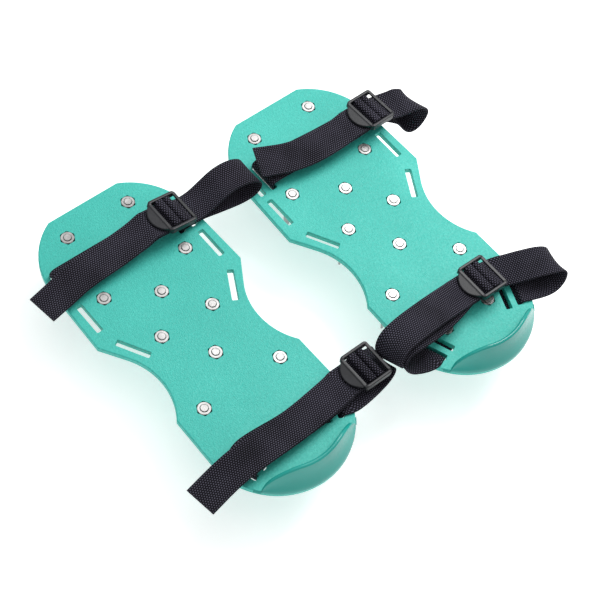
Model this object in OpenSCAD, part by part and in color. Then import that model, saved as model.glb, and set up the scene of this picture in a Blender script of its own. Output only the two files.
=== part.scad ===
// A pair of strap-on lawn aerator sandals: two spiked soles, each with a toe strap and a heel strap.
// Floor at z = 0 (the spike tips), toes towards +Y, left shoe on -X. Everything is in millimetres.

/* [Sole] */
// Thickness of the sole plate
plate_t = 5; // [4.5:0.5:7]
// Width of the sole across the ball of the foot
ball_w = 130; // [128:0.5:132]
// Height of the heel cup above the plate
cup_h = 19; // [12:0.5:24]
// How far the heel cup leans inwards for each millimetre of its height
cup_lean = 0.45; // [0.2:0.05:0.6]
// Wall thickness of the heel cup
cup_t = 3; // [2.5:0.1:4]

/* [Spikes] */
// Length of a spike below its boss
spike_len = 42; // [30:1:60]
// Diameter of the spike shaft and its stud
spike_d = 6; // [5:0.5:6]
// Diameter of the flange that bears on the boss
flange_d = 15; // [12:0.5:16]
// Height of the bosses under the sole
boss_h = 2; // [2:0.5:4]
// Width across the flats of the nuts
nut_af = 10; // [9:0.1:10.4]
// Thickness of the nuts
nut_t = 3.2; // [2.5:0.1:4]

/* [Straps] */
// Width of the webbing
web_w = 25; // [22:0.5:25]
// Thickness of the webbing
web_t = 1.6; // [1.2:0.1:1.6]

/* [Pair] */
// Distance between the centre lines of the two shoes
shoe_gap = 170; // [168:1:175]
// How far the right shoe stands back from the left one
shoe_step = 9; // [8:1:10]

/* [Hidden] */
$fn = 48;
plate_z = spike_len + boss_h;          // underside of the plate
top_z = plate_z + plate_t;             // foot side of the plate
middle_x = -9.8;                       // between the shoes, off centre for the longer right loops
middle_y = -13;                        // the fourth centre spike of the left shoe
SHOES = ["left", "right"];
ORIGINS = [[middle_x - shoe_gap / 2, middle_y], [middle_x + shoe_gap / 2, middle_y - shoe_step]];

// ---- Sole outline: straight toe edge, round toe corners, waist arcs, round heel ----
side_w = ball_w / 2;
side_y = 51.5;
toe_w = 31;
toe_y = 157.3;
toe_r = 55.8;
toe_c = [side_w - 1.6 - toe_r, 106.7];
waist_c = [side_w + 30.7, 5];
waist_r = 51.1;
heel_corner_a = 218.2;
heel_r = 57.5;
heel_y = -65;
heel_side_a = 11.2;
waist_to_side = [side_w, side_y] - waist_c;
waist_end_a = atan2(waist_to_side[1], waist_to_side[0]) + acos(waist_r / norm(waist_to_side));
toe_end_a = atan2(toe_y - toe_c[1], toe_w - toe_c[0]);

function on_circle(c, r, a) = [c[0] + r * cos(a), c[1] + r * sin(a)];
function arc(c, r, a0, a1, n) = [for (i = [0:n]) on_circle(c, r, a0 + (a1 - a0) * i / n)];
function flip_x(p) = [for (i = [len(p) - 1:-1:0]) [-p[i][0], p[i][1]]];

right_edge = concat(arc(waist_c, waist_r, heel_corner_a, waist_end_a, 20), [[side_w, side_y]],
                    arc(toe_c, toe_r, 0, toe_end_a, 16));
heel_edge = arc([0, heel_y], heel_r, 180 + heel_side_a, 360 - heel_side_a, 40);
outline = concat(right_edge, flip_x(right_edge), heel_edge);

// ---- Spikes and nuts, toe first, as [x, y] from the fourth centre spike ----
SPIKES = [[-27.5, 138.6], [27.5, 138.6], [0, 106], [-37, 81.7], [37, 81.7], [0, 62.3],
          [-23, 32.4], [23, 32.4], [0, 0], [-34.5, -30.3], [34.5, -30.3],
          [-21.3, -74.9], [21.3, -74.9]];
stud_fit = 0.05;
stud_top = plate_t + 0.8;              // above the underside of the plate
stud_chamfer = 0.5;
pocket_depth = 3;
pocket_af = nut_af + 0.5;
boss_d = 10;
flange_t = 1.8;
tip_len = 16;
tip_r = 0.8;

// ---- Strap slots of the right half, as [x, y, lean of its toe end outwards] ----
slot_l = 26.2;
slot_w = 5;
TOE_SLOT = [44.5, 106.4, 0];
WIDE_TOE_SLOT = [55.5, 106.4, 0];
HEEL_SLOT = [43.5, -81.3, 22];
SLOTS = [TOE_SLOT, WIDE_TOE_SLOT, [55.3, 74.4, 0], [45.3, 36.4, 30], [33.8, -79, 22], HEEL_SLOT];

// ---- Ladder-lock buckle, in its own frame: origin in the sewn bar, thumb tab towards -X ----
bar_r = 1.5;
grip_x = -7;
rim_w = 2.6;
rim_right = 9.5;
rim_left = -16.5;
rail_in = web_w / 2 + 0.4;
rail_t = 2.4;
rail_low = -1.2;
rail_high = 2.6;
tab_r = 14.5;
tab_x = rim_left + 7.5;
tab_t = 2;
tab_low = -0.6;
loop_fit = 0.08;                       // radial clearance of the sewn loop on its bar
loop_r = bar_r + loop_fit + web_t / 2;   // to the middle of the webbing

// Each buckle on its shoe: [x, y, height of the sewn bar over the plate, tilt, yaw]
TOE_BUCKLES = [[44.5, 104.5, 15, 10, 0], [59.5, 100.5, 15, 5, 3]];
HEEL_BUCKLES = [[78, -75.5, 10, 0, 0], [25.5, -63.5, 14, 4, 0]];

// ---- Webbing routes ----
// A route point is [x, y, height over the plate, and the webbing's width direction as x, y, z].
// Points in a buckle's own frame are [x, z]; points in a slot's frame are [outwards, height].
BUCKLE_IN = [[-19.4, -4.4], [-22, -4.5], [-26, -4.7]];
BUCKLE_TAIL = [[-19.4, -2.4], [-22, -2.4], [-26, -2]];
TONGUE = [[13, -7.2], [8.5, -6.4], [5.2, -5], [3.4, -2.6]];
TONGUE_FLAP = [[1.6, -3.8], [3.4, -6.3], [7.5, -8.3], [11.5, -9]];
TURN = [[-18.8, -4.4], [-13, -4.2], [-9, -3.4], [-6.6, -2.7], [-4.4, -2.2], [-4.2, 0.4], [-5, 2.8],
        [-7.4, 2.9], [-9.6, 2.2], [-9.8, -0.4], [-11, -2.2], [-14, -2.4], [-18.8, -2.4]];
UNDER = -plate_t - 1.1;
LOOP_PASS = [[8, 1.1], [4.4, 1.1], [1.4, 1.1], [0.8, 0.6 - plate_t / 2], [-0.6, 1.7 - plate_t],
             [-1.4, UNDER], [-4.4, UNDER], [-8, UNDER]];
RISE_PASS = [[-10.5, 6.6], [-4, 6.9], [1.2, 6], [2.2, 2.6], [0.6, -0.6], [-0.6, 1.7 - plate_t],
             [-1.4, UNDER], [-4.4, UNDER], [-8, UNDER]];
ACROSS = [0, 1, 0];

toe_under = [for (x = [-22, -8, 8, 22]) [x, 106.4, UNDER, 0, 1, 0]];
heel_under = [[-21.3, -74.9, UNDER, -0.25, 0.97, 0], [-7, -73, UNDER, -0.06, 1, 0],
              [7, -73, UNDER, 0.06, 1, 0], [21.3, -74.9, UNDER, 0.25, 0.97, 0]];

left_toe_load = [[10, 105, 9.5, 0, 1, 0], [-10, 106, 6.8, 0, 1, 0], [-26, 106.4, 6.5, 0, 1, 0]];
left_toe_loop = [[64, 106, 1.3, 0, 1, 0], [80, 102.5, 1.6, 0, 1, 0], [98, 99, 2.4, 0, 1, 0],
                 [108.5, 98, 5.5, 0, 1, 0], [113, 98.5, 12, 0, 1, 0], [109.5, 100, 18.6, 0, 1, 0],
                 [100, 102, 21.5, 0, 1, 0], [88, 104, 19, 0, 1, 0], [76, 104.5, 12, 0, 1, 0],
                 [67, 104.5, 6.6, 0, 1, 0]];
left_toe_tail = [[8, 103.5, 14, 0, 1, 0.03], [-12, 103, 11, 0, 0.99, 0.1],
                 [-34, 102.5, 10.6, 0, 0.99, 0.12], [-48, 101.5, 9.6, 0, 0.99, 0.1],
                 [-60, 99.5, 7.6, 0, 1, 0.05], [-80, 97, 4.6, 0, 1, 0]];

left_heel_load = [[48, -77.5, 6.4, 0, 1, 0], [30, -79.5, 6.4, 0, 1, 0], [0, -80, 6.5, 0, 1, 0],
                  [-20, -78, 6.6, -0.15, 0.98, 0]];
left_heel_loop = [[58, -84.2, 1, 0.2, 0.97, 0], [66, -83.2, 0.4, 0.1, 1, 0],
                  [75, -81.5, -1.6, 0, 1, 0], [84, -79.5, -3, 0, 1, 0], [90, -77.5, -2.2, 0, 1, 0],
                  [92.3, -76.2, 0.4, 0, 1, 0]];
left_heel_tail = [[48, -77, 9.4, 0, 1, 0], [30, -79, 9.6, 0, 1, 0], [8, -81, 9.6, 0, 1, 0],
                  [-20, -81, 10, 0, 1, 0], [-43, -81, 10.4, 0, 1, 0], [-60, -82, 7, 0, 1, 0],
                  [-82, -85, 3, 0, 1, 0]];

right_toe_load = [[24, 101, 9, 0, 1, 0], [4, 103.5, 6.6, 0, 1, 0], [-22, 106, 6.4, 0, 1, 0]];
right_toe_loop = [[60, 105.5, 1.3, 0, 1, 0], [69, 104, 0.6, 0, 1, 0], [77, 100, -5, -0.1, 1, 0],
                  [85, 94.5, -13, -0.2, 0.98, 0], [93, 91, -13.5, -0.28, 0.96, 0],
                  [98, 90.5, -5.5, -0.3, 0.95, 0], [99.5, 91, 1.5, -0.3, 0.95, 0],
                  [94, 92.5, 8.5, -0.25, 0.97, 0], [86, 95.5, 9.5, -0.15, 0.99, 0],
                  [79, 98.5, 7.2, -0.08, 1, 0]];
right_toe_tail = [[22, 98.5, 13, 0, 1, 0], [-4, 99, 12, 0.05, 1, 0.05],
                  [-24, 103, 12.6, 0.1, 0.98, 0.15], [-37, 107.4, 14.2, 0.1, 0.97, 0.2],
                  [-49, 111.6, 16.2, 0.05, 0.97, 0.22]];

right_heel_load = [[-8, -64.5, 13.6, 0, 1, 0], [-26, -65.5, 18, 0, 1, 0], [-46, -67, 22, 0, 1, 0],
                   [-60, -68, 23.6, 0, 1, 0], [-70.5, -69, 21.4, -0.05, 1, 0],
                   [-75.6, -71.5, 16, -0.1, 0.99, 0], [-75.4, -75, 10.4, -0.15, 0.98, 0],
                   [-70.5, -78.8, 6, -0.25, 0.96, 0], [-61, -82.3, 3, -0.33, 0.94, 0]];
right_heel_loop = [[62, -88.6, 1.2, 0.35, 0.94, 0], [70, -89.5, 1.2, 0.25, 0.97, 0],
                   [77, -88, 3.6, 0.2, 0.98, 0], [80.5, -86, 8.6, 0.15, 0.99, 0],
                   [78, -83.5, 13.4, 0.15, 0.99, 0], [69.5, -80, 15.2, 0.15, 0.99, 0],
                   [59, -75, 13.2, 0.12, 0.99, 0], [48, -69, 8.8, 0.05, 1, 0]];
right_heel_tail = [[-8, -64.5, 16.6, 0, 1, 0], [-26, -65.5, 21, 0, 1, 0],
                   [-46, -67, 25, 0, 1, 0], [-61, -68, 26.6, 0, 1, 0],
                   [-74, -69, 24.2, -0.05, 1, 0], [-79.3, -71.5, 16.8, -0.1, 0.99, 0],
                   [-79, -74.5, 10.4, -0.1, 0.99, 0]];

function unit(v) = v / norm(v);
function mix(a, b, t) = a * (1 - t) + b * t;
function spin_z(v, a) = [v[0] * cos(a) - v[1] * sin(a), v[0] * sin(a) + v[1] * cos(a), v[2]];

// A buckle's own [x, z] as a route point on the shoe
function on_buckle(b, p) =
    let (at = spin_z([p[0] * cos(b[3]) + p[1] * sin(b[3]), 0, p[1] * cos(b[3]) - p[0] * sin(b[3])], b[4]),
         w = spin_z(ACROSS, b[4]))
    [b[0] + at[0], b[1] + at[1], b[2] + at[2], w[0], w[1], w[2]];
// A slot's own [outwards, height] as a route point; side is 1 on the right and -1 on the left
function in_slot(side, slot, p) =
    [side * (slot[0] + p[0] * cos(slot[2])), slot[1] - p[0] * sin(slot[2]), p[1],
     side * sin(slot[2]), cos(slot[2]), 0];
// One pass of corner cutting rounds a route and keeps its ends
function cut_corners(p) = concat([p[0]], [for (i = [0:len(p) - 2])
    each [mix(p[i], p[i + 1], 0.25), mix(p[i], p[i + 1], 0.75)]], [p[len(p) - 1]]);
function smooth(p) = cut_corners(cut_corners(p));
function back_to_front(p) = [for (i = [len(p) - 1:-1:0]) p[i]];

// The webbing's sewn end: under the rim, round the bar and back under itself
function sewn_end(b) = [for (p = concat(TONGUE, arc([0, 0], loop_r / cos(15), 0, 270, 9), TONGUE_FLAP))
    on_buckle(b, p)];

// The whole webbing of one strap but its tail: buckle, load run, left slot, under the sole,
// right slot, side loop and back to the sewn bar. way_in is the left slot and the way through it.
function strap_route(b, load, way_in, under, way_out, loop) = concat(
    [for (p = BUCKLE_IN) on_buckle(b, p)], load,
    [for (p = way_in[1]) in_slot(-1, way_in[0], p)], under,
    [for (p = back_to_front(LOOP_PASS)) in_slot(1, way_out, p)], loop, sewn_end(b));

LEFT_TOE = [TOE_BUCKLES[0], left_toe_tail,
            strap_route(TOE_BUCKLES[0], left_toe_load, [WIDE_TOE_SLOT, RISE_PASS], toe_under,
                        TOE_SLOT, left_toe_loop)];
RIGHT_TOE = [TOE_BUCKLES[1], right_toe_tail,
             strap_route(TOE_BUCKLES[1], right_toe_load, [TOE_SLOT, RISE_PASS], toe_under,
                         TOE_SLOT, right_toe_loop)];
LEFT_HEEL = [HEEL_BUCKLES[0], left_heel_tail,
             strap_route(HEEL_BUCKLES[0], left_heel_load, [HEEL_SLOT, RISE_PASS], heel_under,
                         HEEL_SLOT, left_heel_loop)];
RIGHT_HEEL = [HEEL_BUCKLES[1], right_heel_tail,
              strap_route(HEEL_BUCKLES[1], right_heel_load, [HEEL_SLOT, LOOP_PASS], heel_under,
                          HEEL_SLOT, right_heel_loop)];
TOE_STRAPS = [LEFT_TOE, RIGHT_TOE];
HEEL_STRAPS = [LEFT_HEEL, RIGHT_HEEL];

// ---- Node names ----
function spike_name(s, i) = str(SHOES[s], "_spike_", i + 1);
FITTINGS = ["sole", "nuts", "toe_strap", "heel_strap", "toe_strap_turn", "heel_strap_turn",
            "toe_buckle", "heel_buckle"];

module on_shoe(s, z = 0) {
    translate([ORIGINS[s][0], ORIGINS[s][1], z]) children();
}

module at_spikes() {
    for (p = SPIKES) translate(p) children();
}

module on_strap_buckle(b) {
    translate([b[0], b[1], b[2]]) rotate([0, b[3], b[4]]) children();
}

// A flat ribbon of webbing swept along a route
module ribbon(route) {
    p = smooth(route);
    n = len(p);
    at = [for (q = p) [q[0], q[1], q[2]]];
    rings = [for (i = [0:n - 1])
        let (t = unit(at[min(i + 1, n - 1)] - at[max(i - 1, 0)]),
             side = [p[i][3], p[i][4], p[i][5]],
             w = unit(side - t * (side * t)) * web_w / 2,
             up = unit(cross(t, w)) * web_t / 2)
        each [at[i] - w - up, at[i] + w - up, at[i] + w + up, at[i] - w + up]];
    walls = [for (i = [0:n - 2]) for (k = [0:3])
        let (a = 4 * i + k, b = 4 * i + (k + 1) % 4)
        each [[a, b, b + 4], [a, b + 4, a + 4]]];
    first = [[3, 2, 1], [3, 1, 0]];
    last = [for (f = [[0, 1, 2], [0, 2, 3]]) [for (k = f) 4 * (n - 1) + k]];
    polyhedron(rings, concat(first, walls, last));
}

module hex(af, h) {
    rotate(30) cylinder(d = af / cos(30), h = h, $fn = 6);
}

module slot_cut(slot) {
    translate([slot[0], slot[1], -1]) rotate(-slot[2])
        translate([-slot_w / 2, -slot_l / 2, 0]) cube([slot_w, slot_l, plate_t + 2]);
}

// Section of the heel cup wall: it leans inwards and has a round rim
module cup_section() {
    foot_r = heel_r - 0.05;
    rim = [foot_r - cup_lean * (cup_h - cup_t / 2) - cup_t / 2, cup_h - cup_t / 2];
    rotate_extrude(angle = 110, $fn = 180)
        polygon(concat([[foot_r - cup_t, -1], [foot_r, -1], [foot_r, 0]],
                       arc(rim, cup_t / 2, 0, 180, 8), [[foot_r - cup_t, 0]]));
}

// The cup seen from behind: flat rim and long elliptical shoulders
module cup_profile() {
    half = heel_r * sin(48);
    shoulder = 25;
    right = [for (a = [0:7.5:90]) [half - shoulder + shoulder * cos(a), (cup_h + 0.5) * sin(a)]];
    rotate([90, 0, 0]) linear_extrude(heel_r)
        polygon(concat([[half, -2]], right, flip_x(right), [[-half, -2]]));
}

module heel_cup() {
    intersection() {
        translate([0, heel_y, 0]) rotate(-145) cup_section();
        translate([0, heel_y - 20, 0]) cup_profile();
    }
}

module sole(s) {
    color("mediumaquamarine") on_shoe(s, plate_z) difference() {
        union() {
            linear_extrude(plate_t) polygon(outline);
            translate([0, 0, plate_t]) heel_cup();
            at_spikes() translate([0, 0, -boss_h]) cylinder(d = boss_d, h = boss_h + 1);
        }
        for (slot = SLOTS) {
            slot_cut(slot);
            mirror([1, 0, 0]) slot_cut(slot);
        }
        at_spikes() {
            translate([0, 0, -boss_h - 1]) cylinder(d = spike_d + 2 * stud_fit, h = boss_h + plate_t + 2);
            translate([0, 0, plate_t - pocket_depth]) hex(pocket_af, pocket_depth + 1);
        }
    }
}

module spike(s, i) {
    r = spike_d / 2;
    stud = spike_len + boss_h + stud_top;
    color("silver") on_shoe(s) translate(SPIKES[i]) rotate_extrude()
        polygon([[0, 0], [tip_r, 0], [r, tip_len], [r, spike_len - flange_t],
                 [flange_d / 2, spike_len - flange_t], [flange_d / 2, spike_len], [r, spike_len],
                 [r, stud - stud_chamfer], [r - stud_chamfer, stud], [0, stud]]);
}

module nuts(s) {
    color("gainsboro") on_shoe(s, top_z - pocket_depth) at_spikes() difference() {
        hex(nut_af, nut_t);
        translate([0, 0, -1]) cylinder(d = spike_d + 2 * stud_fit, h = nut_t + 2);
    }
}

// Webbing of one strap: the long run with the end sewn round the buckle's bar, and the tail
module strap(s, parts, holes) {
    tail = concat([for (p = BUCKLE_TAIL) on_buckle(parts[0], p)], parts[1]);
    color("dimgray") on_shoe(s, top_z) {
        difference() {
            ribbon(parts[2]);
            for (i = holes) translate([SPIKES[i][0], SPIKES[i][1], UNDER - 2])
                cylinder(d = boss_d + 0.6, h = 3.5);
        }
        ribbon(tail);
    }
}

// The turn of webbing that grips the buckle's other bar
module turn(s, b) {
    color("dimgray") on_shoe(s, top_z) ribbon([for (p = TURN) on_buckle(b, p)]);
}

module bar(x, r) {
    translate([x, 0, 0]) rotate([90, 0, 0])
        cylinder(r = r, h = 2 * rail_in + rail_t, center = true);
}

module cross_rim(x, low) {
    translate([x, -rail_in - rail_t / 2, low]) cube([rim_w, 2 * rail_in + rail_t, rail_high - 0.4 - low]);
}

module rail() {
    r = (rail_high - rail_low) / 2;
    rotate([90, 0, 0]) linear_extrude(rail_t) union() {
        translate([rim_left + r, rail_low]) square([rim_right - rim_left - 2 * r, 2 * r]);
        for (x = [rim_left + r, rim_right - r]) translate([x, rail_low + r]) circle(r);
    }
}

module buckle(s, b) {
    color("black") on_shoe(s, top_z) on_strap_buckle(b) {
        bar(0, bar_r);
        bar(grip_x, bar_r);
        cross_rim(rim_right - rim_w - 0.4, 0.6);
        cross_rim(rim_left + 0.4, -0.8);
        translate([0, rail_in + rail_t, 0]) rail();
        translate([0, -rail_in, 0]) rail();
        translate([0, 0, tab_low]) linear_extrude(tab_t) intersection() {
            translate([tab_x, 0]) circle(tab_r);
            translate([rim_left - 6.5, -rail_in]) square([8, 2 * rail_in]);
        }
    }
}

for (s = [0, 1]) {
    sole(s);
    nuts(s);
    strap(s, TOE_STRAPS[s], [2]);
    strap(s, HEEL_STRAPS[s], [11, 12]);
    turn(s, TOE_BUCKLES[s]);
    turn(s, HEEL_BUCKLES[s]);
    buckle(s, TOE_BUCKLES[s]);
    buckle(s, HEEL_BUCKLES[s]);
    for (i = [0:len(SPIKES) - 1])
        spike(s, i);
}
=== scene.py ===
"""The looks of a pair of strap-on lawn aerator sandals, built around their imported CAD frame.

Lengths are in millimetres until new_object() turns them into metres. A shoe's own coordinates
have their origin at its fourth centre spike, x outwards to the right, y towards the toes, and
h as the height over the top of the sole plate.
"""
import math
import bmesh
import bpy
import numpy as np
from mathutils import Matrix, Vector
from mathutils.geometry import tessellate_polygon


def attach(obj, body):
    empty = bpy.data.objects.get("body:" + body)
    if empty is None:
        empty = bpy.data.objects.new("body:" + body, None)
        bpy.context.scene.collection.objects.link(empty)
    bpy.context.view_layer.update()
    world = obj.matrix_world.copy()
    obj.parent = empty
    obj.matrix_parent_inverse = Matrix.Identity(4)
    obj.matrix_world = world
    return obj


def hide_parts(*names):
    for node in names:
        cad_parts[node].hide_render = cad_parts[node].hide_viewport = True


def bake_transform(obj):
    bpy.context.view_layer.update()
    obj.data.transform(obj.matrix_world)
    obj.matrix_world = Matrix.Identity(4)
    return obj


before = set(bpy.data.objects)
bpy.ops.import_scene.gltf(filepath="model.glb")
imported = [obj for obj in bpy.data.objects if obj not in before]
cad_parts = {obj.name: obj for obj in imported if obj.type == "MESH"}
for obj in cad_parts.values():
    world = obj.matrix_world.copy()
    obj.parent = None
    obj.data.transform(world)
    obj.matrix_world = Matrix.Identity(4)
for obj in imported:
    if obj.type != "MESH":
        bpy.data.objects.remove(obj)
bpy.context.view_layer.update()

MM = 0.001

# ---- Sizes, as in the CAD ----
PLATE_T = 5.0
SPIKE_LEN = 42.0
BOSS_H = 2.0
BOSS_R = 5.0
FLANGE_R = 7.5
FLANGE_T = 1.8
SPIKE_R = 3.0
TIP_R = 0.8
TIP_LEN = 16.0
STUD_FIT = 0.05
STUD_OVER = 0.8
NUT_AF = 10.0
NUT_T = 3.2
POCKET_AF = NUT_AF + 0.5
POCKET_DEPTH = 3.0
WEB_W = 25.0
WEB_T = 1.6
CUP_H = 19.0
CUP_LEAN = 0.45
CUP_T = 3.0
CUP_HALF_A = 48.0
TOP_Z = SPIKE_LEN + BOSS_H + PLATE_T
SHOE_GAP = 170.0
SHOE_STEP = 9.0
MIDDLE_X = -9.8
MIDDLE_Y = -13.0
ORIGINS = {"left": (MIDDLE_X - SHOE_GAP / 2, MIDDLE_Y),
           "right": (MIDDLE_X + SHOE_GAP / 2, MIDDLE_Y - SHOE_STEP)}

# ---- Sole outline ----
SIDE_W = 65.0
SIDE_Y = 51.5
TOE_W = 31.0
TOE_Y = 157.3
TOE_R = 55.8
TOE_C = (SIDE_W - 1.6 - TOE_R, 106.7)
WAIST_C = (SIDE_W + 30.7, 5.0)
WAIST_R = 51.1
HEEL_CORNER_A = 218.2
HEEL_R = 57.5
HEEL_Y = -65.0
HEEL_SIDE_A = 11.2
SPIKES = [(-27.5, 138.6), (27.5, 138.6), (0, 106), (-37, 81.7), (37, 81.7), (0, 62.3),
          (-23, 32.4), (23, 32.4), (0, 0), (-34.5, -30.3), (34.5, -30.3),
          (-21.3, -74.9), (21.3, -74.9)]
SLOT_L = 26.2
SLOT_W = 5.0
TOE_SLOT = (44.5, 106.4, 0)
WIDE_TOE_SLOT = (55.5, 106.4, 0)
HEEL_SLOT = (43.5, -81.3, 22)
SLOTS = [TOE_SLOT, WIDE_TOE_SLOT, (55.3, 74.4, 0), (45.3, 36.4, 30), (33.8, -79, 22), HEEL_SLOT]

# ---- Ladder-lock buckle, in its own frame: origin in the sewn bar, thumb tab towards -X ----
# The CAD's, but for rails that reach 1.4 mm lower and a tab that starts level with the rims.
BAR_R = 1.5
GRIP_X = -7.0
RIM_W = 2.6
RIM_RIGHT = 9.5
RIM_LEFT = -16.5
RAIL_IN = WEB_W / 2 + 0.4
RAIL_T = 2.4
RAIL_LOW = -2.6
RAIL_HIGH = 2.6
TAB_R = 14.5
TAB_X = RIM_LEFT + 7.5
TAB_T = 2.0
TAB_FALL = 0.18
CORNER_R = 3.2
RIM_TOP = RAIL_HIGH - 0.4
RIGHT_RIM_LOW = 0.6
LEFT_RIM_LOW = -0.8
STITCH_ROWS = ((6.6, -4.9, -0.42), (9.6, -5.9, -0.2))
LOOP_FIT = 0.08         # radial clearance of the sewn loop on its bar
LOOP_R = BAR_R + LOOP_FIT + WEB_T / 2

# Each buckle on its shoe: x, y, height of the sewn bar over the plate, tilt, yaw
BUCKLES = {"left_toe": (44.5, 104.5, 15, 10, 0), "right_toe": (59.5, 100.5, 15, 5, 3),
           "left_heel": (78, -75.5, 10, 0, 0), "right_heel": (25.5, -63.5, 14, 4, 0)}

# ---- Webbing routes, as in the CAD, but for the right heel's load run, which shows more here ----
# On a shoe: x, y, h, and the webbing's width direction. In a buckle: x, z. In a slot: outwards, h.
UNDER_GAP = 0.3         # between the plate's underside and the webbing under it
UNDER = -PLATE_T - UNDER_GAP - WEB_T / 2
BUCKLE_IN = [(-19.4, -4.4), (-22, -4.5), (-26, -4.7)]
BUCKLE_TAIL = [(-19.4, -2.4), (-22, -2.4), (-26, -2)]
TONGUE = [(13, -7.2), (8.5, -6.4), (5.2, -5), (3.4, -2.6)]
TONGUE_FLAP = [(1.6, -3.8), (3.4, -6.3), (7.5, -8.3), (11.5, -9)]
TURN = [(-18.8, -4.4), (-13, -4.2), (-9, -3.4), (-6.6, -2.7), (-4.4, -2.2), (-4.2, 0.4), (-5, 2.8),
        (-7.4, 2.9), (-9.6, 2.2), (-9.8, -0.4), (-11, -2.2), (-14, -2.4), (-18.8, -2.4)]
LOOP_PASS = [(8, 1.1), (4.4, 1.1), (1.4, 1.1), (0.8, 0.6 - PLATE_T / 2), (-0.6, 1.7 - PLATE_T),
             (-1.4, UNDER), (-4.4, UNDER), (-8, UNDER)]
RISE_PASS = [(-10.5, 6.6), (-4, 6.9), (1.2, 6), (2.2, 2.6), (0.6, -0.6), (-0.6, 1.7 - PLATE_T),
             (-1.4, UNDER), (-4.4, UNDER), (-8, UNDER)]
TOE_UNDER = [(x, 106.4, UNDER, 0, 1, 0) for x in (-22, -8, 8, 22)]
HEEL_UNDER = [(-21.3, -74.9, UNDER, -0.25, 0.97, 0), (-7, -73, UNDER, -0.06, 1, 0),
              (7, -73, UNDER, 0.06, 1, 0), (21.3, -74.9, UNDER, 0.25, 0.97, 0)]

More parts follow.
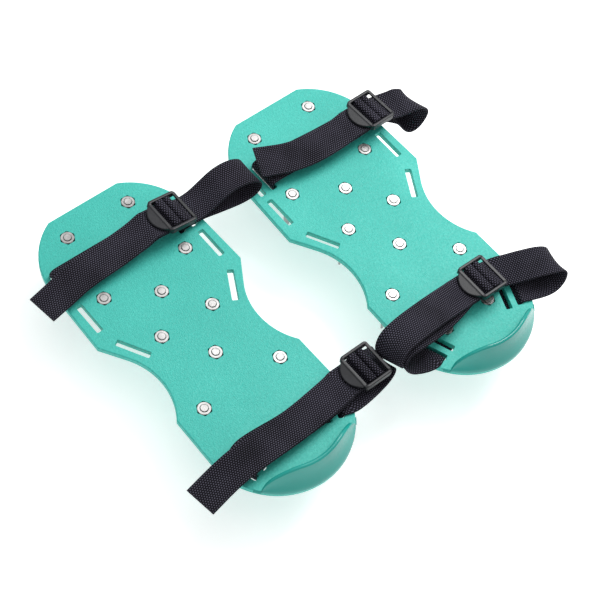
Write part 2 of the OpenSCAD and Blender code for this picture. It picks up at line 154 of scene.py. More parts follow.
STRAPS = {
    "left_toe": {
        "left_slot": WIDE_TOE_SLOT, "right_slot": TOE_SLOT, "pass": RISE_PASS, "under": TOE_UNDER,
        "load": [(10, 105, 9.5, 0, 1, 0), (-10, 106, 6.8, 0, 1, 0), (-26, 106.4, 6.5, 0, 1, 0)],
        "loop": [(64, 106, 1.3, 0, 1, 0), (80, 102.5, 1.6, 0, 1, 0), (98, 99, 2.4, 0, 1, 0),
                 (108.5, 98, 5.5, 0, 1, 0), (113, 98.5, 12, 0, 1, 0), (109.5, 100, 18.6, 0, 1, 0),
                 (100, 102, 21.5, 0, 1, 0), (88, 104, 19, 0, 1, 0), (76, 104.5, 12, 0, 1, 0),
                 (67, 104.5, 6.6, 0, 1, 0)],
        "tail": [(8, 103.5, 14, 0, 1, 0.03), (-12, 103, 11, 0, 0.99, 0.1),
                 (-34, 102.5, 10.6, 0, 0.99, 0.12), (-48, 101.5, 9.6, 0, 0.99, 0.1),
                 (-60, 99.5, 7.6, 0, 1, 0.05), (-80, 97, 4.6, 0, 1, 0)]},
    "left_heel": {
        "left_slot": HEEL_SLOT, "right_slot": HEEL_SLOT, "pass": RISE_PASS, "under": HEEL_UNDER,
        "load": [(48, -77.5, 6.4, 0, 1, 0), (30, -79.5, 6.4, 0, 1, 0), (0, -80, 6.5, 0, 1, 0),
                 (-20, -78, 6.6, -0.15, 0.98, 0)],
        "loop": [(58, -84.2, 1, 0.2, 0.97, 0), (66, -83.2, 0.4, 0.1, 1, 0), (75, -81.5, -1.6, 0, 1, 0),
                 (84, -79.5, -3, 0, 1, 0), (90, -77.5, -2.2, 0, 1, 0), (92.3, -76.2, 0.4, 0, 1, 0)],
        "tail": [(48, -77, 9.4, 0, 1, 0), (30, -79, 9.6, 0, 1, 0), (8, -81, 9.6, 0, 1, 0),
                 (-20, -81, 10, 0, 1, 0), (-43, -81, 10.4, 0, 1, 0), (-60, -82, 7, 0, 1, 0),
                 (-82, -85, 3, 0, 1, 0)]},
    "right_toe": {
        "left_slot": TOE_SLOT, "right_slot": TOE_SLOT, "pass": RISE_PASS, "under": TOE_UNDER,
        "load": [(24, 101, 9, 0, 1, 0), (4, 103.5, 6.6, 0, 1, 0), (-22, 106, 6.4, 0, 1, 0)],
        "loop": [(60, 105.5, 1.3, 0, 1, 0), (69, 104, 0.6, 0, 1, 0), (77, 100, -5, -0.1, 1, 0),
                 (85, 94.5, -13, -0.2, 0.98, 0), (93, 91, -13.5, -0.28, 0.96, 0),
                 (98, 90.5, -5.5, -0.3, 0.95, 0), (99.5, 91, 1.5, -0.3, 0.95, 0),
                 (94, 92.5, 8.5, -0.25, 0.97, 0), (86, 95.5, 9.5, -0.15, 0.99, 0),
                 (79, 98.5, 7.2, -0.08, 1, 0)],
        "tail": [(22, 98.5, 13, 0, 1, 0), (-4, 99, 12, 0.05, 1, 0.05),
                 (-24, 103, 12.6, 0.1, 0.98, 0.15), (-37, 107.4, 14.2, 0.1, 0.97, 0.2),
                 (-49, 111.6, 16.2, 0.05, 0.97, 0.22)]},
    "right_heel": {
        "left_slot": HEEL_SLOT, "right_slot": HEEL_SLOT, "pass": LOOP_PASS, "under": HEEL_UNDER,
        "load": [(-8, -65.5, 12.2, 0, 1, 0), (-26, -69.5, 15, 0, 1, 0), (-46, -72, 19.5, 0, 1, 0),
                 (-60, -72, 22.4, 0, 1, 0), (-70.5, -71.5, 21, -0.05, 1, 0),
                 (-75.6, -73, 16, -0.1, 0.99, 0), (-75.4, -75.5, 10.4, -0.15, 0.98, 0),
                 (-70.5, -78.8, 6, -0.25, 0.96, 0), (-61, -82.3, 3, -0.33, 0.94, 0)],
        "loop": [(62, -88.6, 1.2, 0.35, 0.94, 0), (70, -89.5, 1.2, 0.25, 0.97, 0),
                 (77, -88, 3.6, 0.2, 0.98, 0), (80.5, -86, 8.6, 0.15, 0.99, 0),
                 (78, -83.5, 13.4, 0.15, 0.99, 0), (69.5, -80, 15.2, 0.15, 0.99, 0),
                 (59, -75, 13.2, 0.12, 0.99, 0), (48, -69, 8.8, 0.05, 1, 0)],
        "tail": [(-8, -64.5, 16.6, 0, 1, 0), (-26, -65.5, 21, 0, 1, 0), (-46, -67, 25, 0, 1, 0),
                 (-61, -68, 26.6, 0, 1, 0), (-74, -69, 24.2, -0.05, 1, 0),
                 (-79.3, -71.5, 16.8, -0.1, 0.99, 0), (-79, -74.5, 10.4, -0.1, 0.99, 0)]},
}


# ---- Small helpers ----
def cos_d(a):
    return math.cos(math.radians(a))


def sin_d(a):
    return math.sin(math.radians(a))


def arc(c, r, a0, a1, n):
    return [(c[0] + r * cos_d(a0 + (a1 - a0) * i / n), c[1] + r * sin_d(a0 + (a1 - a0) * i / n))
            for i in range(n + 1)]


def flip_x(points):
    return [(-x, y) for x, y in reversed(points)]


def new_object(name, verts, faces, origin=(0, 0, 0)):
    """A mesh object from points in millimetres, moved by origin."""
    mesh = bpy.data.meshes.new(name)
    points = (np.array(verts, float) + np.array(origin, float)) * MM
    mesh.from_pydata(points.tolist(), [], faces)
    mesh.validate()
    obj = bpy.data.objects.new(name, mesh)
    bpy.context.scene.collection.objects.link(obj)
    return obj


def shade(obj, angle, weighted=False):
    """Smooth shading with edges sharper than angle left hard."""
    mesh = obj.data
    mesh.polygons.foreach_set("use_smooth", [True] * len(mesh.polygons))
    mesh.set_sharp_from_angle(angle=math.radians(angle))
    if weighted:
        weigh = obj.modifiers.new("weighted_normals", "WEIGHTED_NORMAL")
        weigh.keep_sharp = True
    mesh.update()


def apply_modifiers(obj):
    graph = bpy.context.evaluated_depsgraph_get()
    final = bpy.data.meshes.new_from_object(obj.evaluated_get(graph))
    obj.modifiers.clear()
    obj.data = final


def outward_faces(obj):
    """Every face of a closed mesh turned outwards."""
    work = bmesh.new()
    work.from_mesh(obj.data)
    bmesh.ops.recalc_face_normals(work, faces=work.faces)
    work.to_mesh(obj.data)
    work.free()


def on_shoe(side, z=0.0):
    return (*ORIGINS[side], z)


# ---- Materials ----
class Nodes:
    """A short way to write a node tree: each call adds a node and links its inputs."""

    def __init__(self, name):
        self.material = bpy.data.materials.new(name)
        self.material.use_nodes = True
        self.tree = self.material.node_tree
        self.shader = self.tree.nodes["Principled BSDF"]

    def add(self, kind, inputs=(), **settings):
        node = self.tree.nodes.new(kind)
        for key, value in settings.items():
            setattr(node, key, value)
        for socket, value in dict(inputs).items():
            self.put(node.inputs[socket], value)
        return node

    def put(self, socket, value):
        if isinstance(value, bpy.types.NodeSocket):
            self.tree.links.new(value, socket)
        else:
            socket.default_value = value

    def math(self, operation, a, b=0.0):
        return self.add("ShaderNodeMath", {0: a, 1: b}, operation=operation).outputs[0]

    def noise(self, scale, detail, vector):
        inputs = {"Scale": scale, "Detail": detail, "Vector": vector}
        return self.add("ShaderNodeTexNoise", inputs).outputs["Fac"]

    def ramp(self, value, stops):
        node = self.add("ShaderNodeValToRGB", {"Fac": value})
        ramp = node.color_ramp
        while len(ramp.elements) < len(stops):
            ramp.elements.new(0.5)
        for element, (place, colour) in zip(ramp.elements, stops):
            element.position = place
            element.color = (*colour, 1)
        return node.outputs["Color"]

    def between(self, value, low, high):
        inputs = {"Value": value, "To Min": low, "To Max": high}
        return self.add("ShaderNodeMapRange", inputs).outputs["Result"]

    def bump(self, height, distance, strength=1.0, normal=None):
        inputs = {"Height": height, "Distance": distance, "Strength": strength}
        if normal is not None:
            inputs["Normal"] = normal
        return self.add("ShaderNodeBump", inputs).outputs["Normal"]

    def finish(self, **values):
        """Sets the shader's own sockets, such as Base_Color."""
        for key, value in values.items():
            self.put(self.shader.inputs[key.replace("_", " ")], value)
        return self.material


def sole_material():
    """Moulded plastic with a fine leather grain and faint flow marks."""
    n = Nodes("sole_plastic")
    place = n.add("ShaderNodeTexCoord").outputs["Object"]
    grain = n.add("ShaderNodeTexVoronoi", {"Scale": 720.0, "Vector": place},
                  feature="DISTANCE_TO_EDGE").outputs["Distance"]
    pebbles = n.noise(620.0, 4.0, place)
    clouds = n.noise(14.0, 3.0, place)
    speckle = n.noise(650.0, 2.0, place)
    tone = n.math("ADD", n.math("MULTIPLY", clouds, 0.45), n.math("MULTIPLY", speckle, 0.55))
    colour = n.ramp(tone, [(0.32, (0.022, 0.41, 0.345)), (0.5, (0.032, 0.48, 0.405)),
                           (0.68, (0.055, 0.56, 0.475))])
    normal = n.bump(n.math("ADD", pebbles, n.math("MULTIPLY", grain, 2.0)), 0.00022, 0.75)
    return n.finish(Base_Color=colour, Roughness=n.between(pebbles, 0.42, 0.6), Normal=normal)


def cup_material():
    """The same plastic, polished smooth on the heel cup, with its colour painted darker than the sole's as
    painted shade on the cup's wall.
    """
    n = Nodes("heel_cup_plastic_painted_shade")
    place = n.add("ShaderNodeTexCoord").outputs["Object"]
    clouds = n.noise(22.0, 3.0, place)
    # Painted shade: these greens are darker than the sole's and stand in for the shade on the cup's wall.
    colour = n.ramp(clouds, [(0.3, (0.004, 0.28, 0.24)), (0.7, (0.01, 0.35, 0.30))])
    normal = n.bump(n.noise(180.0, 3.0, place), 0.0001, 0.25)
    return n.finish(Base_Color=colour, Roughness=n.between(clouds, 0.2, 0.3), Normal=normal)


def webbing_material():
    """Black polypropylene webbing: rows of warp floats, every second row half a stitch on, with a painted
    highlight on the float tops and painted shade in the gaps between them.
    """
    n = Nodes("black_webbing")
    uv = n.add("ShaderNodeUVMap", uv_map="weave").outputs["UV"]
    xyz = n.add("ShaderNodeSeparateXYZ", {"Vector": uv})
    across, along = xyz.outputs["X"], xyz.outputs["Y"]
    row = n.math("FLOOR", across)
    in_row = n.math("SINE", n.math("MULTIPLY", n.math("FRACT", across), math.pi))
    step = n.math("MULTIPLY", n.math("PINGPONG", row, 1.0), 0.5)
    wave = n.math("COSINE", n.math("MULTIPLY", n.math("ADD", along, step), 2 * math.pi))
    float_up = n.math("MULTIPLY", n.math("ADD", wave, 1.0), 0.5)
    height = n.math("MULTIPLY", n.math("POWER", in_row, 0.7), n.math("ADD", float_up, 0.35))
    place = n.add("ShaderNodeTexCoord").outputs["Object"]
    fibres = n.noise(2600.0, 3.0, place)
    highlight_patchiness = n.noise(38.0, 3.0, place)
    # Painted highlight and shade: tone rises with the weave height, so the float tops are painted lighter and
    # the gaps painted dark. A low noise makes the highlight patchy.
    tone = n.math("MULTIPLY", height, n.math("ADD", n.math("MULTIPLY", highlight_patchiness, 0.7), 0.45))
    colour = n.ramp(tone, [(0.15, (0.0015, 0.0013, 0.0025)), (0.5, (0.007, 0.0065, 0.011)),
                           (0.95, (0.09, 0.086, 0.12))])
    fine = n.bump(fibres, 0.00005, 0.5)
    normal = n.bump(height, 0.0005, 0.9, fine)
    return n.finish(Base_Color=colour, Roughness=n.between(fibres, 0.55, 0.8), Normal=normal,
                    Specular_IOR_Level=0.12)


def thread_material():
    n = Nodes("bonded_thread")
    place = n.add("ShaderNodeTexCoord").outputs["Object"]
    twist = n.noise(3000.0, 2.0, place)
    colour = n.ramp(twist, [(0.3, (0.01, 0.01, 0.013)), (0.7, (0.06, 0.06, 0.07))])
    return n.finish(Base_Color=colour, Roughness=n.between(twist, 0.4, 0.6),
                    Normal=n.bump(twist, 0.0001, 0.5))


def buckle_material():
    """Satin black moulded plastic with rubbed, slightly greyer patches."""
    n = Nodes("buckle_plastic")
    place = n.add("ShaderNodeTexCoord").outputs["Object"]
    skin = n.noise(1500.0, 3.0, place)
    rub = n.noise(120.0, 4.0, place)
    colour = n.ramp(rub, [(0.3, (0.006, 0.007, 0.009)), (0.75, (0.016, 0.017, 0.022))])
    return n.finish(Base_Color=colour, Roughness=n.between(rub, 0.3, 0.46),
                    Normal=n.bump(skin, 0.00005, 0.4), Specular_IOR_Level=0.35)


def steel_material():
    """Bright zinc plate with fine turning marks and a faint patchy tone."""
    n = Nodes("zinc_steel")
    place = n.add("ShaderNodeTexCoord").outputs["Object"]
    patches = n.noise(160.0, 4.0, place)
    stretch = n.add("ShaderNodeMapping", {"Vector": place, "Scale": (1.0, 1.0, 9.0)})
    marks = n.noise(1400.0, 2.0, stretch.outputs["Vector"])
    colour = n.ramp(patches, [(0.3, (0.32, 0.315, 0.31)), (0.55, (0.42, 0.415, 0.41)),
                              (0.8, (0.52, 0.51, 0.505))])
    return n.finish(Base_Color=colour, Metallic=1.0, Roughness=n.between(patches, 0.32, 0.48),
                    Normal=n.bump(marks, 0.00006, 0.35))


def floor_material():
    n = Nodes("pale_floor")
    place = n.add("ShaderNodeTexCoord").outputs["Object"]
    colour = n.ramp(n.noise(3.0, 2.0, place), [(0.3, (0.90, 0.90, 0.90)), (0.7, (0.93, 0.93, 0.93))])
    return n.finish(Base_Color=colour, Roughness=n.between(n.noise(60.0, 2.0, place), 0.7, 0.85),
                    Emission_Color=(1, 1, 1, 1), Emission_Strength=0.5)


# ---- Soles ----
def turned(loop, d):
    """A closed counter-clockwise loop moved outwards by d, with mitred corners."""
    p = np.array(loop, float)
    edge = np.roll(p, -1, 0) - p
    edge /= np.linalg.norm(edge, axis=1)[:, None]
    out = np.stack([edge[:, 1], -edge[:, 0]], 1)
    both = out + np.roll(out, 1, 0)
    both /= np.sum(both * out, 1)[:, None]
    return p + both * d


def sole_outline():
    to_side = (SIDE_W - WAIST_C[0], SIDE_Y - WAIST_C[1])
    waist_end = math.degrees(math.atan2(to_side[1], to_side[0]) + math.acos(WAIST_R / math.hypot(*to_side)))
    toe_end = math.degrees(math.atan2(TOE_Y - TOE_C[1], TOE_W - TOE_C[0]))
    right = (arc(WAIST_C, WAIST_R, HEEL_CORNER_A, waist_end % 360, 30) + [(SIDE_W, SIDE_Y)]
             + arc(TOE_C, TOE_R, 0, toe_end, 24))
    heel = arc((0, HEEL_Y), HEEL_R, 180 + HEEL_SIDE_A, 360 - HEEL_SIDE_A, 72)
    return right + flip_x(right) + heel


def rounded_polygon(corners, r, n):
    """Corners rounded by arcs of n steps and of about radius r, counter-clockwise."""
    out = []
    for i, c in enumerate(corners):
        c = Vector(c)
        back = (Vector(corners[i - 1]) - c).normalized()
        ahead = (Vector(corners[(i + 1) % len(corners)]) - c).normalized()
        for k in range(n + 1):
            t = k / n
            point = (c + back * r) * (1 - t) ** 2 + c * 2 * t * (1 - t) + (c + ahead * r) * t * t
            out.append((point.x, point.y))
    return out


def slot_loop(slot, mirror):
    turn = Matrix.Rotation(math.radians(-slot[2]), 2)
    w, l = SLOT_W / 2, SLOT_L / 2
    corners = [turn @ Vector(c) + Vector(slot[:2]) for c in ((-w, -l), (w, -l), (w, l), (-w, l))]
    loop = rounded_polygon([(c.x, c.y) for c in corners], 0.9, 3)
    return flip_x(loop) if mirror else loop


def hex_loop(centre, af):
    r = af / math.sqrt(3)
    corners = [(centre[0] + r * cos_d(60 * k), centre[1] + r * sin_d(60 * k)) for k in range(6)]
    return rounded_polygon(corners, 0.7, 3)


def circle_like(centre, loop, r):
    """A circle with one point towards each point of loop."""
    out = []
    for x, y in loop:
        a = math.atan2(y - centre[1], x - centre[0])
        out.append((centre[0] + r * math.cos(a), centre[1] + r * math.sin(a)))
    return out


class Shell:
    """Collects rings of points and the faces between them."""

    def __init__(self):
        self.verts = []
        self.faces = []

    def ring(self, loop, z):
        start = len(self.verts)
        heights = z if hasattr(z, "__len__") else [z] * len(loop)
        self.verts += [(p[0], p[1], h) for p, h in zip(loop, heights)]
        return list(range(start, len(self.verts)))

    def between(self, a, b):
        n = len(a)
        self.faces += [(a[i], a[(i + 1) % n], b[(i + 1) % n], b[i]) for i in range(n)]

    def chain(self, rings):
        for a, b in zip(rings, rings[1:]):
            self.between(a, b)

    def cap(self, rings):
        """Fills the flat region inside the first ring and outside the others."""
        flat = [i for ring in rings for i in ring]
        loops = [[Vector(self.verts[i]) for i in ring] for ring in rings]
        self.faces += [tuple(flat[i] for i in face) for face in tessellate_polygon(loops)]


def edge_rings(shell, loop, outwards, r, z_from, z_to, steps=4):
    """The rounded top edge, wall and rounded bottom edge of a loop; outwards is -1 for a hole."""
    rings = []
    for k in range(steps + 1):
        a = 90 - 90 * k / steps
        rings.append(shell.ring(turned(loop, -outwards * r * (1 - cos_d(a))), z_from - r * (1 - sin_d(a))))
    for k in range(steps + 1):
        a = 90 * k / steps
        rings.append(shell.ring(turned(loop, -outwards * r * (1 - cos_d(a))), z_to + r * (1 - sin_d(a))))
    return rings


def fill_plate(shell):
    """The sole plate with its slots, nut pockets, stud holes and bosses. Its top is at h = 0."""
    tops, bottoms = [], []
    rings = edge_rings(shell, sole_outline(), 1, 0.9, 0, -PLATE_T)
    shell.chain(rings)
    tops.append(rings[0])
    bottoms.append(rings[-1])
    for slot in SLOTS:
        for mirror in (False, True):
            rings = edge_rings(shell, slot_loop(slot, mirror), -1, 0.35, 0, -PLATE_T, 3)
            shell.chain(rings)
            tops.append(rings[0])
            bottoms.append(rings[-1])
    for centre in SPIKES:
        pocket = hex_loop(centre, POCKET_AF)
        bore = circle_like(centre, pocket, SPIKE_R + STUD_FIT)
        boss = circle_like(centre, pocket, BOSS_R)
        boss_low = -PLATE_T - BOSS_H
        rings = [shell.ring(turned(pocket, 0.3), 0), shell.ring(turned(pocket, 0.1), -0.1),
                 shell.ring(pocket, -0.3), shell.ring(pocket, -POCKET_DEPTH),
                 shell.ring(bore, -POCKET_DEPTH), shell.ring(bore, boss_low),
                 shell.ring(turned(boss, -0.4), boss_low), shell.ring(turned(boss, -0.1), boss_low + 0.1),
                 shell.ring(boss, boss_low + 0.4), shell.ring(boss, -PLATE_T - 0.4),
                 shell.ring(turned(boss, 0.4), -PLATE_T)]
        shell.chain(rings)
        tops.append(rings[0])
        bottoms.append(rings[-1])
    shell.cap(tops)
    shell.cap(bottoms)


def cup_height(a):
    """Height of the heel cup's rim over the plate at angle a round the heel."""
    half, shoulder = HEEL_R * sin_d(CUP_HALF_A), 25.0
    x = abs(HEEL_R * cos_d(a)) - (half - shoulder)
    if x <= 0:
        return CUP_H
    return CUP_H * math.sqrt(max(0.0, 1 - (x / shoulder) ** 2)) if x < shoulder else 0.0


def cup_section(height):
    """Radius and h round one section of the cup, from its outer foot over the rim to its inner foot."""
    low, skin = -1.6, 0.02
    fillet = 0.9 * min(1.0, height / 6.0) - 0.4
    dish = 0.9 * min(1.0, height / CUP_H)
    rim = CUP_T / 2 + 0.2
    top = max(height, -0.3) - rim
    points = [(HEEL_R + skin, low), (HEEL_R + skin, -0.2)]
    for k in range(1, 11):
        t = k / 10
        points.append((HEEL_R - CUP_LEAN * top * t - dish * math.sin(math.pi * min(1.0, t * 1.06)),
                       max(top * t, -0.2) if top > 0 else top * t))
    centre = HEEL_R - CUP_LEAN * top - rim
    points += [(centre + rim * cos_d(18 * k), top + rim * sin_d(18 * k)) for k in range(1, 10)]
    inner = HEEL_R - CUP_T
    points += [(inner - CUP_LEAN * top * t, top * t) for t in (0.9, 0.7, 0.5, 0.3, 0.16)]
    points += [(inner - 0.5, fillet), (inner - 1.3, min(fillet, 0.0)), (inner - 1.5, low)]
    return points


def heel_cup(name, side):
    """The raised wall round the heel, one closed sweep sunk a little into the plate."""
    steps, half_sweep = 120, 54.0
    verts, rings = [], []
    for i in range(steps + 1):
        a = -90 - half_sweep + 2 * half_sweep * i / steps
        section = cup_section(cup_height(a))
        start = len(verts)
        verts += [(r * cos_d(a), HEEL_Y + r * sin_d(a), h) for r, h in section]
        rings.append(list(range(start, len(verts))))
    n = len(rings[0])
    faces = [(a[k], a[(k + 1) % n], b[(k + 1) % n], b[k]) for a, b in zip(rings, rings[1:]) for k in range(n)]
    faces += [tuple(rings[0]), tuple(rings[-1])]
    cup = new_object(name, verts, faces, on_shoe(side, TOP_Z))
    outward_faces(cup)
    cup.data.materials.append(MATERIALS["cup"])
    shade(cup, 40)
    return cup


def sole(side):
    shell = Shell()
    fill_plate(shell)
    plate = new_object(f"{side}_sole_moulding", shell.verts, shell.faces, on_shoe(side, TOP_Z))
    outward_faces(plate)
    plate.data.materials.append(MATERIALS["sole"])
    shade(plate, 35, weighted=True)
    apply_modifiers(plate)
    cup = heel_cup(f"{side}_heel_cup", side)
    for piece in (plate, cup):
        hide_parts(f"{side}_sole")
        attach(piece, f"{side}_shoe")


# ---- Spikes and nuts ----
def revolve(profile, centre):
    """Points and faces of a profile of (radius, z) turned about a vertical axis; r = 0 closes an end."""
    n = 32
    verts, rings, faces = [], [], []
    for r, z in profile:
        start = len(verts)
        if r == 0:
            verts.append((centre[0], centre[1], z))
        else:
            verts += [(centre[0] + r * cos_d(360 * k / n), centre[1] + r * sin_d(360 * k / n), z)
                      for k in range(n)]
        rings.append(list(range(start, len(verts))))
    for a, b in zip(rings, rings[1:]):
        for k in range(n):
            j = (k + 1) % n
            if len(a) == 1:
                faces.append((a[0], b[j], b[k]))
            elif len(b) == 1:
                faces.append((a[k], a[j], b[0]))
            else:
                faces.append((a[k], a[j], b[j], b[k]))
    return verts, faces


def spike_profile():
    """Rounded tip, cone, plain shaft, flange with soft edges, threaded stud with a chamfered end."""
    tip = [(0, 0)] + [(TIP_R * sin_d(a), TIP_R * (1 - cos_d(a))) for a in (30, 60, 82)]
    shaft = [(SPIKE_R - 0.12, TIP_LEN - 0.8), (SPIKE_R, TIP_LEN + 0.6), (SPIKE_R, SPIKE_LEN - FLANGE_T - 0.9),
             (SPIKE_R + 0.25, SPIKE_LEN - FLANGE_T - 0.25), (SPIKE_R + 0.9, SPIKE_LEN - FLANGE_T)]
    low, high, soft = SPIKE_LEN - FLANGE_T, SPIKE_LEN, 0.4
    flange = [(FLANGE_R - soft, low), (FLANGE_R - 0.1, low + 0.12), (FLANGE_R, low + soft),
              (FLANGE_R, high - soft), (FLANGE_R - 0.1, high - 0.12), (FLANGE_R - soft, high)]
    stud = [(SPIKE_R, high)]
    pitch, depth = 1.0, 0.32
    z = high + 1.0
    stud_end = TOP_Z + STUD_OVER
    while z + pitch < stud_end - 0.4:
        stud += [(SPIKE_R, z), (SPIKE_R - depth, z + pitch / 2)]
        z += pitch
    stud += [(SPIKE_R, z), (SPIKE_R, stud_end - 0.45), (SPIKE_R - 0.4, stud_end),
             (0, stud_end)]
    return tip + shaft + flange + stud


def spikes(side):
    profile = spike_profile()
    for i, centre in enumerate(SPIKES):
        verts, faces = revolve(profile, centre)
        spike = new_object(f"{side}_spike_{i + 1}_steel", verts, faces, on_shoe(side))
        outward_faces(spike)
        spike.data.materials.append(MATERIALS["steel"])
        shade(spike, 30)
        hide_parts(f"{side}_spike_{i + 1}")
        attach(spike, f"{side}_shoe")


def nut_geometry(centre):
    """A hex nut with 30 degree chamfers on its top face and a countersunk bore."""
    n, turn = 72, 30
    flat = NUT_AF / 2
    face_r = flat * 0.96

    def hex_r(a):
        return min(flat / cos_d((a % 60) - 30), flat * 1.13)

    rows = [("bore", 0.0), ("bore", NUT_T - 0.4), ("sink", NUT_T), ("face", NUT_T), ("rim", None),
            ("skirt", 0.25), ("foot", 0.0)]
    verts, rings = [], []
    for kind, z in rows:
        start = len(verts)
        for k in range(n):
            a = 360 * k / n
            r = {"bore": SPIKE_R + STUD_FIT, "sink": SPIKE_R + 0.25, "face": face_r,
                 "rim": hex_r(a), "skirt": hex_r(a), "foot": hex_r(a) - 0.15}[kind]
            height = NUT_T - 0.15 - (r - face_r) * math.tan(math.radians(30)) if kind == "rim" else z
            verts.append((centre[0] + r * cos_d(a + turn), centre[1] + r * sin_d(a + turn), height))
        rings.append(list(range(start, len(verts))))
    rings.append(rings[0])
    faces = [(a[k], a[(k + 1) % n], b[(k + 1) % n], b[k]) for a, b in zip(rings, rings[1:]) for k in range(n)]
    return verts, faces


def nuts(side):
    verts, faces = [], []
    for centre in SPIKES:
        v, f = nut_geometry(centre)
        faces += [tuple(i + len(verts) for i in face) for face in f]
        verts += v
    group = new_object(f"{side}_hex_nuts", verts, faces, on_shoe(side, TOP_Z - POCKET_DEPTH))
    outward_faces(group)
    group.data.materials.append(MATERIALS["steel"])
    shade(group, 28)
    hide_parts(f"{side}_nuts")
    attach(group, f"{side}_shoe")


# ---- Webbing ----
def on_buckle(b, p):
    """A buckle's own (x, z) as a route point on its shoe."""
    x, y, h, tilt, yaw = b
    along = p[0] * cos_d(tilt) + p[1] * sin_d(tilt)
    up = p[1] * cos_d(tilt) - p[0] * sin_d(tilt)
    return (x + along * cos_d(yaw), y + along * sin_d(yaw), h + up, -sin_d(yaw), cos_d(yaw), 0)


def in_slot(sign, slot, p):
    """A slot's own (outwards, h) as a route point; sign is 1 on the right and -1 on the left."""
    x, y, lean = slot
    return (sign * (x + p[0] * cos_d(lean)), y - p[0] * sin_d(lean), p[1], sign * sin_d(lean), cos_d(lean), 0)


def cut_corners(points):
    inner = [q for a, b in zip(points, points[1:]) for q in (0.75 * a + 0.25 * b, 0.25 * a + 0.75 * b)]
    return [points[0], *inner, points[-1]]


def smooth(route):
    points = [np.array(p, float) for p in route]
    for _ in range(3):
        points = cut_corners(points)
    return np.array(points)


def grip_route(name):
    """Free tail, turn round the grip bar, load run, and down through the left slot."""
    strap, b = STRAPS[name], BUCKLES[name]
    tail = [on_buckle(b, p) for p in BUCKLE_TAIL] + strap["tail"]
    turn = [on_buckle(b, p) for p in TURN]
    load = [on_buckle(b, p) for p in BUCKLE_IN] + strap["load"]
    return tail[::-1] + turn[::-1] + load + [in_slot(-1, strap["left_slot"], p) for p in strap["pass"]]


def sewn_route(name):
    """On under the sole, up through the right slot, round the side loop to the sewn bar."""
    strap, b = STRAPS[name], BUCKLES[name]
    start = in_slot(-1, strap["left_slot"], strap["pass"][-1])
    rise = [in_slot(1, strap["right_slot"], p) for p in reversed(LOOP_PASS)]
    wrap = arc((0, 0), LOOP_R / cos_d(15), 0, 270, 9)
    sewn = [on_buckle(b, p) for p in TONGUE + wrap + TONGUE_FLAP]
    return [start] + strap["under"] + rise + strap["loop"] + sewn


def frames(route):
    """Middle, width and thickness directions along a smoothed route."""
    p = smooth(route)
    at, side = p[:, :3], p[:, 3:]
    t = np.gradient(at, axis=0)
    t /= np.linalg.norm(t, axis=1)[:, None]
    w = side - t * np.sum(side * t, 1)[:, None]
    w /= np.linalg.norm(w, axis=1)[:, None]
    return at, w, np.cross(t, w)


def web_section():
    """The webbing's cut: flat faces, round selvedges. Points are (across, up)."""
    half, thick, r = WEB_W / 2, WEB_T / 2, 0.7
    flat = [(half - r) * (1 - k / 5) for k in range(11)]
    edge = [(-(half - r) - r * sin_d(a), thick * cos_d(a)) for a in (30, 60, 90, 120, 150)]
    top = [(a, thick) for a in flat] + edge
    return top + [(-a, -u) for a, u in top]


def webbing(name, route):
    """A ribbon along a route, with a weave map counted in floats across and stitches along."""
    row, stitch = 1.5, 1.9
    at, w, up = frames(route)
    section = web_section()
    n, rings = len(section), len(at)
    verts = np.concatenate([[at[i] + a * w[i] + u * up[i] for a, u in section] for i in range(rings)])
    faces = [(n * i + k, n * i + (k + 1) % n, n * (i + 1) + (k + 1) % n, n * (i + 1) + k)
             for i in range(rings - 1) for k in range(n)]
    faces += [tuple(range(n)), tuple(range(n * (rings - 1), n * rings))]
    length = np.concatenate([[0], np.cumsum(np.linalg.norm(np.diff(at, axis=0), axis=1))])
    loop = np.array(section + section[:1])
    girth = np.concatenate([[0], np.cumsum(np.linalg.norm(np.diff(loop, axis=0), axis=1))])
    side = name.split("_")[0]
    strap = new_object(name, verts, faces, on_shoe(side, TOP_Z))
    uv = strap.data.uv_layers.new(name="weave")
    for face in strap.data.polygons:
        ks = [strap.data.loops[j].vertex_index % n for j in face.loop_indices]
        wraps = len(ks) == 4 and 0 in ks and n - 1 in ks
        for j, k in zip(face.loop_indices, ks):
            i = strap.data.loops[j].vertex_index // n
            across = girth[n] if wraps and k == 0 else girth[k]
            uv.data[j].uv = (across / row, length[i] / stitch)
    outward_faces(strap)
    strap.data.materials.append(MATERIALS["webbing"])
    shade(strap, 50)
    print(f"{name}: {length[-1]:.0f} mm of webbing")
    return strap


def stitches(name):
    """Two rows of bar tacks that close the sewn end behind the buckle's bar."""
    b = BUCKLES[name]
    thread_r, bead, pitch = 0.28, 1.9, 2.1
    verts, faces = [], []
    for x, z_top, slope in STITCH_ROWS:
        for k in range(11):
            y = (k - 5) * pitch
            start = len(verts)
            for i, a in enumerate(range(0, 360, 45)):
                for end in (-1, -0.6, 0.6, 1):
                    r = thread_r * (0.35 if abs(end) == 1 else 1)
                    dx, dz = r * cos_d(a), r * sin_d(a)
                    px, py, pz, *_ = on_buckle(b, (x + dx, z_top + slope * dx + dz))
                    yaw = b[4]
                    reach = y + end * bead / 2
                    verts.append((px - reach * sin_d(yaw), py + reach * cos_d(yaw), pz))
            for i in range(8):
                for e in range(3):
                    p, q = start + 4 * i + e, start + 4 * ((i + 1) % 8) + e
                    faces.append((p, p + 1, q + 1, q))
            faces.append(tuple(start + 4 * i for i in range(8)))
            faces.append(tuple(start + 4 * i + 3 for i in range(8)))
    side = name.split("_")[0]
    tack = new_object(f"{name}_stitching", verts, faces, on_shoe(side, TOP_Z))
    outward_faces(tack)
    tack.data.materials.append(MATERIALS["thread"])
    shade(tack, 60)
    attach(tack, f"{side}_shoe")


def strap(name):
    side = name.split("_")[0]
    grip = webbing(f"{name}_webbing_grip_run", grip_route(name))
    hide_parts(f"{name}_strap", f"{name}_strap_turn")
    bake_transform(grip)
    sewn = webbing(f"{name}_webbing_sewn_run", sewn_route(name))
    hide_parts(f"{name}_strap")
    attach(sewn, f"{side}_shoe")
    stitches(name)


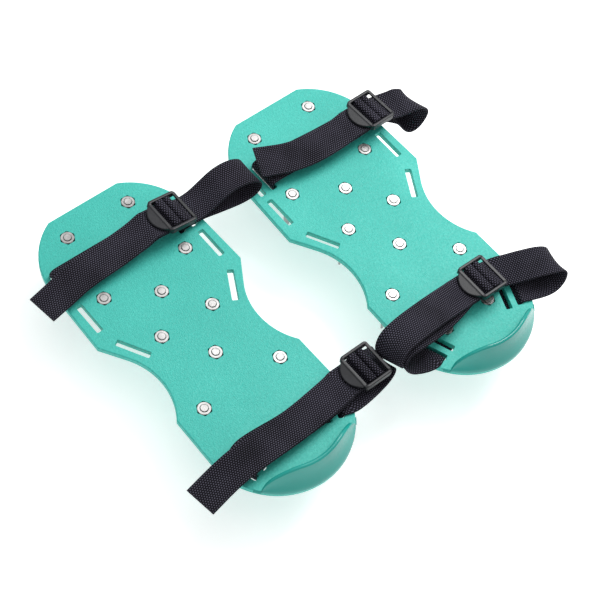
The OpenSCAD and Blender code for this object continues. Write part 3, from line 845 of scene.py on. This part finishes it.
# ---- Buckles ----
def slab(work, corners, low, high):
    """A prism over an outline; its low and high faces are level, or have a height for each corner."""
    n = len(corners)
    lows, highs = [h if hasattr(h, "__len__") else [h] * n for h in (low, high)]
    a = [work.verts.new((x, y, z)) for (x, y), z in zip(corners, lows)]
    b = [work.verts.new((x, y, z)) for (x, y), z in zip(corners, highs)]
    work.faces.new(a[::-1])
    work.faces.new(b)
    for i in range(n):
        work.faces.new((a[i], a[(i + 1) % n], b[(i + 1) % n], b[i]))


def rod(work, x, half):
    """A round bar across the buckle."""
    n = 20
    circle = [(x + BAR_R * cos_d(360 * k / n), BAR_R * sin_d(360 * k / n)) for k in range(n)]
    ends = [[work.verts.new((px, y, pz)) for px, pz in circle] for y in (-half, half)]
    work.faces.new(ends[0])
    work.faces.new(ends[1][::-1])
    for k in range(n):
        j = (k + 1) % n
        work.faces.new((ends[0][k], ends[1][k], ends[1][j], ends[0][j]))


def rim(work, x, reach, low):
    """An end rim across the buckle, from x to its right."""
    slab(work, [(x, -reach), (x + RIM_W, -reach), (x + RIM_W, reach), (x, reach)], low, RIM_TOP)


def rail_outline():
    """Side view of a rail, with round ends."""
    r = (RAIL_HIGH - RAIL_LOW) / 2
    mid = RAIL_LOW + r
    return arc((RIM_LEFT + r, mid), r, 90, 270, 12) + arc((RIM_RIGHT - r, mid), r, -90, 90, 12)


def rail(work, near, far):
    profile = rail_outline()
    a = [work.verts.new((x, near, z)) for x, z in profile]
    b = [work.verts.new((x, far, z)) for x, z in profile]
    work.faces.new(a)
    work.faces.new(b[::-1])
    for i in range(len(profile)):
        j = (i + 1) % len(profile)
        work.faces.new((a[i], b[i], b[j], a[j]))


def thumb_tab(work):
    """A round tab at the left rim, which falls towards its tip."""
    half = math.degrees(math.acos((TAB_X - RIM_LEFT - 1.5) / TAB_R))
    outline = arc((TAB_X, 0), TAB_R, 180 - half, 180 + half, 24)
    tops = [RIM_TOP - TAB_FALL * (RIM_LEFT + RIM_W - x) for x, _ in outline]
    slab(work, outline, [z - TAB_T for z in tops], tops)


def fuse(obj, rounds):
    """One skin round all of a moulding's parts, smoothed a number of times."""
    remesh = obj.modifiers.new("fuse", "REMESH")
    remesh.mode = "VOXEL"
    remesh.voxel_size = 0.3
    soften = obj.modifiers.new("soften", "SMOOTH")
    soften.factor = 0.5
    soften.iterations = rounds
    apply_modifiers(obj)


def round_corners(obj, outer):
    """Draws the frame's four corners in plan onto arcs."""
    for vert in obj.data.vertices:
        x, y, z = vert.co
        cx = min(max(x, RIM_LEFT + CORNER_R), RIM_RIGHT - CORNER_R)
        cy = min(max(y, CORNER_R - outer), outer - CORNER_R)
        away = Vector((x - cx, y - cy))
        if x != cx and y != cy and away.length > CORNER_R:
            away.length = CORNER_R
            vert.co = (cx + away.x, cy + away.y, z)


def buckle(name):
    """A moulded ladder-lock frame: its parts are fused by a fine remesh, which rounds every joint."""
    work = bmesh.new()
    outer = RAIL_IN + RAIL_T
    rail(work, -outer, -RAIL_IN)
    rail(work, RAIL_IN, outer)
    rod(work, 0, outer - 0.4)
    rod(work, GRIP_X, outer - 0.4)
    rim(work, RIM_RIGHT - RIM_W - 0.4, outer - 0.5, RIGHT_RIM_LOW)
    rim(work, RIM_LEFT + 0.4, outer - 0.5, LEFT_RIM_LOW)
    thumb_tab(work)
    bmesh.ops.recalc_face_normals(work, faces=work.faces)
    mesh = bpy.data.meshes.new(f"{name}_buckle_moulding")
    work.to_mesh(mesh)
    work.free()
    obj = bpy.data.objects.new(f"{name}_buckle_moulding", mesh)
    bpy.context.scene.collection.objects.link(obj)
    fuse(obj, 1)
    round_corners(obj, outer)
    fuse(obj, 4)
    side = name.split("_")[0]
    x, y, h, tilt, yaw = BUCKLES[name]
    ox, oy, oz = on_shoe(side, TOP_Z)
    place = (Matrix.Translation((ox + x, oy + y, oz + h)) @ Matrix.Rotation(math.radians(yaw), 4, "Z")
             @ Matrix.Rotation(math.radians(tilt), 4, "Y"))
    obj.data.transform(Matrix.Scale(MM, 4) @ place)
    obj.data.materials.append(MATERIALS["buckle"])
    shade(obj, 60)
    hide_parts(f"{name}_buckle")
    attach(obj, f"{name}_ladder_lock")


# ---- Stage: camera, lights and floor ----
FLOOR_HALF = 9000.0


def look(obj, target, roll=0.0):
    """Points an object's -Z at target, with roll in degrees about its line of sight."""
    back = (obj.location - Vector(target)).normalized()
    right = Vector((0, 0, 1)).cross(back).normalized()
    up = back.cross(right)
    right, up = (right * cos_d(roll) + up * sin_d(roll), -right * sin_d(roll) + up * cos_d(roll))
    obj.matrix_world = Matrix.Translation(obj.location) @ Matrix((right, up, back)).transposed().to_4x4()


def camera():
    azimuth, elevation, roll, distance = -51.887, 57.72, 13.605, 1175.9
    target = Vector((MIDDLE_X - 8.2, MIDDLE_Y - 2.5, TOP_Z)) * MM
    data = bpy.data.cameras.new("photo_view")
    data.lens, data.sensor_width = 97.03, 36.0
    data.clip_start, data.clip_end = 0.01, 20.0
    cam = bpy.data.objects.new("photo_view", data)
    bpy.context.scene.collection.objects.link(cam)
    back = Vector((sin_d(azimuth) * cos_d(elevation), -cos_d(azimuth) * cos_d(elevation), sin_d(elevation)))
    cam.location = target + back * distance * MM
    look(cam, target, roll)
    bpy.context.scene.camera = cam


def softbox(name, location, size, power):
    data = bpy.data.lights.new(name, "AREA")
    data.shape, data.size, data.size_y, data.energy = "RECTANGLE", size[0], size[1], power
    light = bpy.data.objects.new(name, data)
    bpy.context.scene.collection.objects.link(light)
    light.location = location
    look(light, (0, 0, 0.03))


def studio():
    bpy.context.scene.view_settings.view_transform = "Standard"
    world = bpy.data.worlds.new("white_room")
    world.use_nodes = True
    world.node_tree.nodes["Background"].inputs["Color"].default_value = (1, 1, 1, 1)
    world.node_tree.nodes["Background"].inputs["Strength"].default_value = 0.5
    bpy.context.scene.world = world
    softbox("overhead", (0.05, 0.1, 1.7), (1.5, 1.5), 6.5)
    softbox("back_right", (0.8, 0.2, 1.05), (0.7, 0.7), 13)
    corners = [(x * FLOOR_HALF, y * FLOOR_HALF, 0) for x, y in ((-1, -1), (1, -1), (1, 1), (-1, 1))]
    floor = new_object("floor", corners, [(0, 1, 2, 3)])
    floor.data.materials.append(MATERIALS["floor"])


MATERIALS = {"sole": sole_material(), "cup": cup_material(), "webbing": webbing_material(),
             "thread": thread_material(), "buckle": buckle_material(), "steel": steel_material(),
             "floor": floor_material()}

camera()
studio()
for shoe in ORIGINS:
    sole(shoe)
    nuts(shoe)
    spikes(shoe)
for name in STRAPS:
    strap(name)
    buckle(name)
